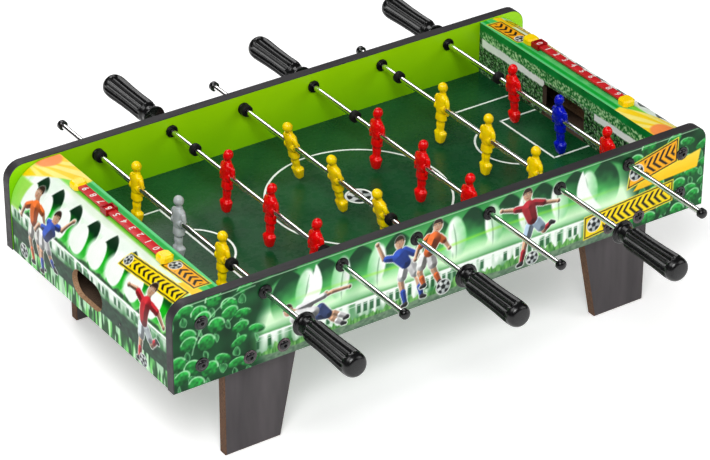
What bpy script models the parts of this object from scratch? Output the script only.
"""Tabletop football game: a low box of printed boards on four tapered legs, crossed by six steel rods.

Every rod slides along Y and spins about it, and carries three moulded men, a grip at one end, a rounded cap
at the other and two bumper rings. Each curved end holds a score rail with a sliding marker. Metres, +Z up,
X along the table. The origin is the middle of the bounding box at floor level, so the table stands a little
back from it: the front grips reach further out than the back ones.
"""

import math

import bmesh
import bpy
from mathutils import Matrix, Vector

MM = 0.001
GAP = 0.3 * MM  # between boards that touch
FIT = 0.3 * MM  # between a rod and what is fixed on it, and round the score rail
RUNNING_FIT = 0.4 * MM  # between a rod and what it runs in

# Side panels
LENGTH = 690 * MM
WIDTH = 352.6 * MM  # over the two side panels
LEG_HEIGHT = 109 * MM  # floor to the underside of the panels
PANEL_HEIGHT = 103 * MM
PANEL_THICK = 13 * MM
PANEL_CORNER = 20 * MM

# Curved ends
HOOD_INSET = 1.5 * MM  # from the end of the side panels
HOOD_DEPTH = 62.5 * MM  # outer face to inner edge
HOOD_THICK = 6 * MM
HOOD_BEND = 46 * MM  # radius of the outer face
HOOD_DROP = 2 * MM  # its top lies this far below the side panels' top
SLOT_WIDE = 63 * MM  # ball outlet
SLOT_TALL = 32.4 * MM
SLOT_OVER_TRAY = 1.8 * MM  # its lower edge above the tray

# Inside
BOARD_THICK = 5 * MM
GOAL_THICK = 6 * MM
GOAL_WIDE = 78 * MM
GOAL_TALL = 40.5 * MM
GOAL_CORNER = 6 * MM
TRAY_HEIGHT = 15 * MM  # its top above the underside of the panels

# Legs
LEG_THICK = 12 * MM
LEG_FROM_GOAL = 4 * MM  # its outer edge, in from the goal panel
LEG_WIDE_TOP = 90 * MM
LEG_WIDE_FOOT = 68 * MM

# Rods
KEEPER_GAP = 46.25 * MM  # axis of the end rods to the goal panel
ROD_DOWN = 17 * MM  # axis below the top of the panels
ROD_RADIUS = 3.1 * MM
CAP_CLEAR = 78 * MM  # tip of the rounded cap outside the panel, with the middle man half way across
CAP_LENGTH = 8 * MM
CAP_RADIUS = 5.6 * MM
GRIP_CLEAR = 63.7 * MM  # the grip's flange outside the panel, likewise
GRIP_LENGTH = 98 * MM
GRIP_RADIUS = 14 * MM
FLANGE_RADIUS = 13.5 * MM
BUMPER_RADIUS = 7.2 * MM
BUMPER_LENGTH = 7 * MM
BUSH_OUTER_RADIUS = 8 * MM
BUSH_INNER_RADIUS = 7.2 * MM
BUSH_OUTER_LIP = 2.5 * MM
BUSH_INNER_LIP = 3 * MM

# Men
MAN_TRAVEL = 54 * MM  # furthest that a bumper ring lets a middle man go from half way across
MAN_FOOT = 44.4 * MM  # rod axis to sole
SOLE_CLEAR = 5.6 * MM  # above the playing surface
MAN_HEAD = 30.5 * MM  # rod axis to crown
MAN_HALF_WIDTH = 12 * MM

# Score rails
RAIL_FROM_EDGE = 19 * MM  # its middle, out from the inner edge of the end
RAIL_HALF_SPAN = 89 * MM  # middle of the table to the middle of a post
POST_SIDE = 16 * MM
POST_ABOVE = 2 * MM  # top of a post above the rail
RAIL_WIDE = 10 * MM
RAIL_THICK = 3 * MM
SLIDER_LENGTH = 13 * MM
SLIDER_WALL = 1.6 * MM  # above and below the rail
SLIDER_CHEEK = 2.2 * MM  # beside the rail
SLIDER_LIFT = 1.1 * MM  # under the slider
SCORE_SPARE = 1.6 * MM  # between the slider and a post at the first and last score

# One entry per rod, from left to right: y of the middle man from the middle of the table, tilt of the men
# about +Y in degrees, side of the grip, and how far the rod can slide to the front and to the back before a
# bumper ring meets its bushing.
RODS = (
    {"y": -8 * MM, "tilt": 2.0, "grip": -1, "play": (43.6 * MM, 0.0), "colours": "yellow silver yellow"},
    {"y": -41 * MM, "tilt": 3.0, "grip": 1, "play": (12 * MM, 44.2 * MM), "colours": "red " * 3},
    {"y": -24 * MM, "tilt": -12.0, "grip": -1, "play": (26.9 * MM, 0.0), "colours": "yellow " * 3},
    {"y": -53 * MM, "tilt": 1.5, "grip": 1, "play": (0.0, 78.6 * MM), "colours": "red " * 3},
    {"y": -44.5 * MM, "tilt": 3.0, "grip": -1, "play": (4.5 * MM, 29.6 * MM), "colours": "yellow " * 3},
    {"y": -53 * MM, "tilt": -5.0, "grip": 1, "play": (0.0, 93.6 * MM), "colours": "red blue red"},
)
SCORE_SHOWN = {"left": 6, "right": 0}

COLOURS = {
    "lime": (0.30, 0.60, 0.0),
    "green": (0.02, 0.36, 0.06),
    "crowd": (0.01, 0.14, 0.02),
    "pitch": (0.008, 0.07, 0.025),
    "charcoal": (0.07, 0.065, 0.07),
    "fibreboard": (0.45, 0.30, 0.17),
    "steel": (0.62, 0.62, 0.62),
    "black": (0.012, 0.012, 0.013),
    "yellow": (1.0, 0.75, 0.0),
    "red": (0.70, 0.0, 0.005),
    "blue": (0.0, 0.01, 0.38),
    "silver": (0.42, 0.44, 0.44),
    "rail_red": (0.55, 0.03, 0.03),
    "dark_red": (0.32, 0.0, 0.002),
}

# Derived: boards
HALF_INNER = WIDTH / 2 - PANEL_THICK
BASE = LEG_HEIGHT
TOP = BASE + PANEL_HEIGHT - HOOD_DROP
AXIS = BASE + PANEL_HEIGHT - ROD_DOWN
SURFACE = AXIS - MAN_FOOT - SOLE_CLEAR  # the playing surface
HOOD_FACE = LENGTH / 2 - HOOD_INSET
GOAL_FACE = HOOD_FACE - HOOD_DEPTH
LEG_OUT = GOAL_FACE - LEG_FROM_GOAL

# Derived: rods and men
ROD_PITCH = 2 * (GOAL_FACE - KEEPER_GAP) / (len(RODS) - 1)
RUNNING_BORE = ROD_RADIUS + RUNNING_FIT
CAP_REACH = WIDTH / 2 + CAP_CLEAR
GRIP_REACH = WIDTH / 2 + GRIP_CLEAR
LIMIT = HALF_INNER - BUSH_INNER_LIP - GAP - BUMPER_LENGTH / 2  # a bumper ring against its bushing
MAN_SPACING = LIMIT - BUMPER_LENGTH / 2 - MAN_HALF_WIDTH - MAN_TRAVEL

# Derived: score rails
RAIL_X = GOAL_FACE + RAIL_FROM_EDGE
RAIL_LIFT = SLIDER_LIFT + SLIDER_WALL + FIT  # under the rail
POST_HEIGHT = RAIL_LIFT + RAIL_THICK + POST_ABOVE
SCORE_STEP = 2 * (RAIL_HALF_SPAN - POST_SIDE / 2 - SLIDER_LENGTH / 2 - SCORE_SPARE) / 9

# Derived: where the table stands, half way between the tips of the furthest grips
REACH = GRIP_REACH + GRIP_LENGTH
FRONT_REACH = max(REACH - rod["y"] for rod in RODS if rod["grip"] < 0)
BACK_REACH = max(REACH + rod["y"] for rod in RODS if rod["grip"] > 0)
TABLE_Y = (FRONT_REACH - BACK_REACH) / 2


def clear_scene():
    for obj in list(bpy.data.objects):
        bpy.data.objects.remove(obj)


def material(name):
    """The Principled material of one colour, made once."""
    found = bpy.data.materials.get(name)
    if found is None:
        found = bpy.data.materials.new(name)
        found.use_nodes = True
        shader = found.node_tree.nodes["Principled BSDF"]
        shader.inputs["Base Color"].default_value = (*COLOURS[name], 1.0)
        shader.inputs["Metallic"].default_value = 1.0 if name == "steel" else 0.0
        shader.inputs["Roughness"].default_value = 0.25 if name in ("steel", "yellow", "red") else 0.4
    return found


def mesh_of(name, vertices, faces):
    """A closed mesh whose faces are all turned outward."""
    data = bpy.data.meshes.new(name)
    data.from_pydata([tuple(v) for v in vertices], [], faces)
    work = bmesh.new()
    work.from_mesh(data)
    bmesh.ops.recalc_face_normals(work, faces=work.faces)
    work.to_mesh(data)
    work.free()
    return data


def add(name, data, colour, place=(0.0, 0.0, 0.0)):
    """Puts a mesh in the scene with its origin at place, given from the middle of the table, on the floor."""
    obj = bpy.data.objects.new(name, data)
    obj.location = (place[0], place[1] + TABLE_Y, place[2])
    data.materials.clear()
    data.materials.append(material(colour))
    bpy.context.scene.collection.objects.link(obj)
    return obj


def prism(outline, low, high, along="Y"):
    """An outline swept from low to high: (x, z) outlines along Y, (y, z) outlines along X."""
    count = len(outline)
    if along == "Y":
        vertices = [(a, end, b) for end in (low, high) for a, b in outline]
    else:
        vertices = [(end, a, b) for end in (low, high) for a, b in outline]
    faces = [tuple(range(count)), tuple(range(2 * count - 1, count - 1, -1))]
    faces += [(i, (i + 1) % count, count + (i + 1) % count, count + i) for i in range(count)]
    return mesh_of("prism", vertices, faces)


def box(low, high):
    """A block between two corners."""
    (x0, y0, z0), (x1, y1, z1) = low, high
    return prism([(x0, z0), (x1, z0), (x1, z1), (x0, z1)], y0, y1)


def arc(centre, radius, start, end, steps):
    """Points on a circle from one angle to another, in degrees."""
    angles = [math.radians(start + (end - start) * i / steps) for i in range(steps + 1)]
    return [(centre[0] + radius * math.cos(a), centre[1] + radius * math.sin(a)) for a in angles]


def turned(profile, sides=16, ring=False):
    """A profile of (radius, y) pairs turned about Y. A ring's profile is a loop clear of the axis."""
    vertices, loops = [], []
    for radius, y in profile:
        if radius == 0.0:
            loops.append([len(vertices)])
            vertices.append((0.0, y, 0.0))
            continue
        loops.append(list(range(len(vertices), len(vertices) + sides)))
        for i in range(sides):
            angle = 2 * math.pi * (i + 0.5) / sides
            vertices.append((radius * math.cos(angle), y, radius * math.sin(angle)))
    faces = []
    pairs = list(zip(loops, loops[1:] + loops[:1])) if ring else list(zip(loops, loops[1:]))
    for one, two in pairs:
        for i in range(sides):
            j = (i + 1) % sides
            if len(one) == 1:
                faces.append((one[0], two[i], two[j]))
            elif len(two) == 1:
                faces.append((one[i], one[j], two[0]))
            else:
                faces.append((one[i], one[j], two[j], two[i]))
    return mesh_of("turned", vertices, faces)


def together(parts):
    """Several meshes that don't touch, as one cutter or one thing to join: (mesh, offset) pairs."""
    work = bmesh.new()
    for data, offset in parts:
        copy = data.copy()
        copy.transform(Matrix.Translation(Vector(offset)))
        work.from_mesh(copy)
        bpy.data.meshes.remove(copy)
    joined = bpy.data.meshes.new("together")
    work.to_mesh(joined)
    work.free()
    return joined


def combine(data, other, operation):
    """The Boolean of two meshes, as a new mesh."""
    body = bpy.data.objects.new("body", data)
    tool = bpy.data.objects.new("tool", other)
    tool.hide_render = True
    tool.display_type = "WIRE"
    for obj in (body, tool):
        bpy.context.scene.collection.objects.link(obj)
    boolean = body.modifiers.new("boolean", "BOOLEAN")
    boolean.operation = operation
    boolean.solver = "EXACT"
    boolean.object = tool
    bpy.context.view_layer.update()
    result = bpy.data.meshes.new_from_object(body.evaluated_get(bpy.context.evaluated_depsgraph_get()))
    bpy.data.objects.remove(body)
    bpy.data.objects.remove(tool)
    return result


def rod_x(index):
    return (index - (len(RODS) - 1) / 2) * ROD_PITCH


def side_panel(side):
    """A board with rounded top corners and six flanged bushings that the rods run in. side is -1 in front."""
    half = LENGTH / 2
    low, high = BASE, BASE + PANEL_HEIGHT
    outline = [(-half, low), (half, low)]
    outline += arc((half - PANEL_CORNER, high - PANEL_CORNER), PANEL_CORNER, 0, 90, 6)
    outline += arc((-half + PANEL_CORNER, high - PANEL_CORNER), PANEL_CORNER, 90, 180, 6)
    inner, outer = side * HALF_INNER, side * WIDTH / 2
    data = prism(outline, min(inner, outer), max(inner, outer))
    middle = (inner + outer) / 2
    lip = turned(
        [
            (0.0, outer + side * BUSH_OUTER_LIP),
            (BUSH_OUTER_RADIUS, outer + side * BUSH_OUTER_LIP),
            (BUSH_OUTER_RADIUS, middle),
            (BUSH_INNER_RADIUS, middle),
            (BUSH_INNER_RADIUS, inner - side * BUSH_INNER_LIP),
            (0.0, inner - side * BUSH_INNER_LIP),
        ]
    )
    ends = (middle - PANEL_THICK * 2, middle + PANEL_THICK * 2)
    bore = turned([(0.0, ends[0]), (RUNNING_BORE, ends[0]), (RUNNING_BORE, ends[1]), (0.0, ends[1])])
    places = [(rod_x(i), 0.0, AXIS) for i in range(len(RODS))]
    data = combine(data, together([(lip, p) for p in places]), "UNION")
    return combine(data, together([(bore, p) for p in places]), "DIFFERENCE")


def hood(side):
    """A board bent from the outer face over to the top, with the ball outlet in it. side is -1 at left."""
    inner = HOOD_BEND - HOOD_THICK
    centre = (HOOD_FACE - HOOD_BEND, TOP - HOOD_BEND)
    outline = [(HOOD_FACE - HOOD_THICK, BASE), (HOOD_FACE, BASE)]
    outline += arc(centre, HOOD_BEND, 0, 90, 10)
    outline += [(GOAL_FACE, TOP), (GOAL_FACE, TOP - HOOD_THICK)]
    outline += arc(centre, inner, 90, 0, 10)
    outline = [(side * x, z) for x, z in outline]
    reach = HALF_INNER - GAP
    data = prism(outline, -reach, reach)
    radius, run = SLOT_TALL / 2, (SLOT_WIDE - SLOT_TALL) / 2
    middle = BASE + TRAY_HEIGHT + SLOT_OVER_TRAY + radius
    slot = arc((run, middle), radius, -90, 90, 8) + arc((-run, middle), radius, 90, 270, 8)
    ends = sorted((side * (HOOD_FACE - 2 * HOOD_THICK), side * (HOOD_FACE + HOOD_THICK)))
    return combine(data, prism(slot, ends[0], ends[1], "X"), "DIFFERENCE")


def goal_panel(side):
    """The inner end wall with the goal mouth, which is open down to the playing surface."""
    reach = HALF_INNER - GAP
    floor, ceiling = SURFACE, SURFACE + GOAL_TALL
    half = GOAL_WIDE / 2
    low, high = BASE + GAP, TOP - HOOD_THICK - GAP
    outline = [(-reach, low), (reach, low), (reach, high), (-reach, high)]
    mouth = [(-half, floor), (half, floor)]
    mouth += arc((half - GOAL_CORNER, ceiling - GOAL_CORNER), GOAL_CORNER, 0, 90, 4)
    mouth += arc((-half + GOAL_CORNER, ceiling - GOAL_CORNER), GOAL_CORNER, 90, 180, 4)
    ends = sorted((side * GOAL_FACE, side * (GOAL_FACE + GOAL_THICK)))
    cutter = sorted((side * (GOAL_FACE - GOAL_THICK), side * (GOAL_FACE + 2 * GOAL_THICK)))
    return combine(prism(outline, *ends, "X"), prism(mouth, *cutter, "X"), "DIFFERENCE")


def leg(side_x, side_y):
    """A board with a plumb outer edge and an inner edge that leans in toward the foot."""
    top = SURFACE - BOARD_THICK - GAP
    outline = [
        (LEG_OUT, 0.0),
        (LEG_OUT, top),
        (LEG_OUT - LEG_WIDE_TOP, top),
        (LEG_OUT - LEG_WIDE_TOP, BASE),
        (LEG_OUT - LEG_WIDE_FOOT, 0.0),
    ]
    face = HALF_INNER - GAP
    ends = sorted((side_y * face, side_y * (face - LEG_THICK)))
    return prism([(side_x * x, z) for x, z in outline], *ends)


def score_rail():
    """A flat bar held clear of the table by two posts with cut corners. Its origin is on the table top."""
    half, cut = POST_SIDE / 2, POST_SIDE / 5
    low, high = GAP, POST_HEIGHT
    plan = [(half - cut, -half), (half, -half + cut), (half, half - cut), (half - cut, half)]
    plan += [(-half + cut, half), (-half, half - cut), (-half, -half + cut), (-half + cut, -half)]
    rings = [(1.0, low), (1.0, high - cut * 0.6), (0.78, high)]
    vertices = [(x * scale, y * scale, z) for scale, z in rings for x, y in plan]
    count = len(plan)
    faces = [tuple(range(count)), tuple(range(2 * count, 3 * count))]
    for one in (0, count):
        two = one + count
        faces += [(one + i, one + (i + 1) % count, two + (i + 1) % count, two + i) for i in range(count)]
    post = mesh_of("post", vertices, faces)
    posts = together([(post, (0, -RAIL_HALF_SPAN, 0)), (post, (0, RAIL_HALF_SPAN, 0))])
    end = RAIL_HALF_SPAN - POST_SIDE / 4
    bar = box((-RAIL_WIDE / 2, -end, RAIL_LIFT), (RAIL_WIDE / 2, end, RAIL_LIFT + RAIL_THICK))
    return combine(bar, posts, "UNION")


def score_slider():
    """A collar round the rail, with a window that shows the score beneath it."""
    length, side = SLIDER_LENGTH / 2, RAIL_WIDE / 2 + FIT
    wide = side + SLIDER_CHEEK
    floor, ceiling = RAIL_LIFT - FIT, RAIL_LIFT + RAIL_THICK + FIT
    high = ceiling + SLIDER_WALL
    data = box((-wide, -length, floor - SLIDER_WALL), (wide, length, high))
    channel = box((-side, -2 * length, floor), (side, 2 * length, ceiling))
    wide_open, long_open = side - MM, length - 2 * MM
    window = box((-wide_open, -long_open, ceiling - FIT), (wide_open, long_open, high + SLIDER_WALL))
    return combine(combine(data, channel, "DIFFERENCE"), window, "DIFFERENCE")


def rod(grip):
    """A round bar from inside the grip to the rounded cap. Its origin is at the middle man."""
    inside = GRIP_REACH + GRIP_LENGTH * 0.55
    tip = CAP_REACH
    profile = [
        (0.0, -inside),
        (ROD_RADIUS, -inside),
        (ROD_RADIUS, tip - CAP_LENGTH),
        (CAP_RADIUS, tip - CAP_LENGTH),
        (CAP_RADIUS, tip - CAP_LENGTH * 0.35),
        (CAP_RADIUS * 0.65, tip),
        (0.0, tip),
    ]
    return turned([(radius, -grip * y) for radius, y in profile])


def grip_body(grip):
    """A flanged hand grip with a blind bore for the rod. Its origin is at the middle man."""
    start = GRIP_REACH
    depth = GRIP_LENGTH * 0.55 + FIT
    bore = ROD_RADIUS + FIT
    profile = [
        (0.0, start + depth),
        (bore, start + depth),
        (bore, start),
        (FLANGE_RADIUS, start),
        (FLANGE_RADIUS, start + 4 * MM),
        (GRIP_RADIUS * 0.72, start + 6 * MM),
        (GRIP_RADIUS * 0.72, start + 15 * MM),
        (GRIP_RADIUS * 0.9, start + 19 * MM),
        (GRIP_RADIUS, start + GRIP_LENGTH - 10 * MM),
        (GRIP_RADIUS * 0.8, start + GRIP_LENGTH - 2.5 * MM),
        (0.0, start + GRIP_LENGTH),
    ]
    return turned([(radius, grip * y) for radius, y in profile])


def bumper():
    """A rubber ring that stops the rod at the bushings."""
    half, edge = BUMPER_LENGTH / 2, 1.2 * MM
    profile = [
        (RUNNING_BORE, -half),
        (BUMPER_RADIUS - edge, -half),
        (BUMPER_RADIUS, -half + edge),
        (BUMPER_RADIUS, half - edge),
        (BUMPER_RADIUS - edge, half),
        (RUNNING_BORE, half),
    ]
    return turned(profile, ring=True)


def man():
    """A standing man moulded round the rod: he faces +X and his origin is on the rod's axis."""
    wide = MAN_HALF_WIDTH
    sole, crown = -MAN_FOOT, MAN_HEAD
    rings = [  # height, half width, front, back
        (sole, 4.6 * MM, 4.4 * MM, -3.2 * MM),
        (sole + 12 * MM, 8.0 * MM, 6.0 * MM, -4.4 * MM),
        (sole + 15 * MM, 5.0 * MM, 3.8 * MM, -3.8 * MM),
        (-6.5 * MM, 6.2 * MM, 5.0 * MM, -5.0 * MM),
        (-4.0 * MM, wide * 0.95, 5.6 * MM, -5.4 * MM),
        (5.0 * MM, wide, 6.2 * MM, -5.8 * MM),
        (12.0 * MM, wide * 0.8, 5.4 * MM, -5.2 * MM),
        (15.8 * MM, 3.4 * MM, 3.4 * MM, -3.2 * MM),
        (19.0 * MM, 4.8 * MM, 5.0 * MM, -4.6 * MM),
        (24.5 * MM, 6.0 * MM, 6.2 * MM, -6.0 * MM),
        (crown - 1.6 * MM, 4.4 * MM, 4.4 * MM, -4.4 * MM),
        (crown, 1.6 * MM, 1.6 * MM, -1.6 * MM),
    ]
    sides = 8
    vertices = []
    for z, half, front, back in rings:
        for i in range(sides):
            angle = 2 * math.pi * (i + 0.5) / sides
            spread = 1.0 / math.cos(math.pi / sides)
            x = math.cos(angle) * spread
            y = math.sin(angle) * spread
            vertices.append((x * (front if x > 0 else -back), y * half, z))
    faces = [tuple(range(sides)), tuple(range((len(rings) - 1) * sides, len(rings) * sides))]
    for level in range(len(rings) - 1):
        a, b = level * sides, (level + 1) * sides
        faces += [(a + i, a + (i + 1) % sides, b + (i + 1) % sides, b + i) for i in range(sides)]
    body = mesh_of("man", vertices, faces)
    bore = ROD_RADIUS + FIT
    reach = 2 * wide
    return combine(body, turned([(0.0, -reach), (bore, -reach), (bore, reach), (0.0, reach)]), "DIFFERENCE")


def build_table():
    add("side_panel_front", side_panel(-1), "green")
    add("side_panel_back", side_panel(1), "lime")
    reach = HALF_INNER - GAP
    for side, name in ((-1, "left"), (1, "right")):
        add(f"hood_{name}", hood(side), "green")
        add(f"goal_panel_{name}", goal_panel(side), "crowd")
        near, far = GOAL_FACE + GOAL_THICK + GAP, HOOD_FACE - HOOD_THICK - GAP
        ends = sorted((side * near, side * far))
        high = BASE + TRAY_HEIGHT
        tray = box((ends[0], -reach, high - BOARD_THICK), (ends[1], reach, high))
        add(f"ball_tray_{name}", tray, "fibreboard")
    end = GOAL_FACE - GAP
    add("playfield", box((-end, -reach, SURFACE - BOARD_THICK), (end, reach, SURFACE)), "pitch")
    for side_y, depth in ((-1, "front"), (1, "back")):
        for side_x, name in ((-1, "left"), (1, "right")):
            add(f"leg_{depth}_{name}", leg(side_x, side_y), "charcoal")


def build_score():
    for side, name in ((-1, "left"), (1, "right")):
        x = side * RAIL_X
        add(f"score_rail_{name}", score_rail(), "rail_red", (x, 0.0, TOP))
        y = -side * (SCORE_SHOWN[name] - 4.5) * SCORE_STEP
        add(f"score_slider_{name}", score_slider(), "dark_red", (x, y, TOP))


def build_rods():
    figure = man()
    for index, entry in enumerate(RODS):
        number = index + 1
        x, middle = rod_x(index), (rod_x(index), entry["y"], AXIS)
        add(f"rod_{number}", rod(entry["grip"]), "steel", middle)
        add(f"grip_{number}", grip_body(entry["grip"]), "black", middle)
        play = entry["play"]
        for y, name in ((play[0] - LIMIT, "front"), (LIMIT - play[1], "back")):
            add(f"bumper_{number}_{name}", bumper(), "black", (x, y, AXIS))
        lean = Matrix.Rotation(math.radians(entry["tilt"]), 4, "Y")
        turn = Matrix.Rotation(math.pi, 4, "Z") if entry["grip"] > 0 else Matrix.Identity(4)
        for step, colour, name in zip((-1, 0, 1), entry["colours"].split(), ("front", "middle", "back")):
            data = figure.copy()
            data.transform(lean @ turn)
            add(f"man_{number}_{name}", data, colour, (x, entry["y"] + step * MAN_SPACING, AXIS))


clear_scene()
build_table()
build_score()
build_rods()
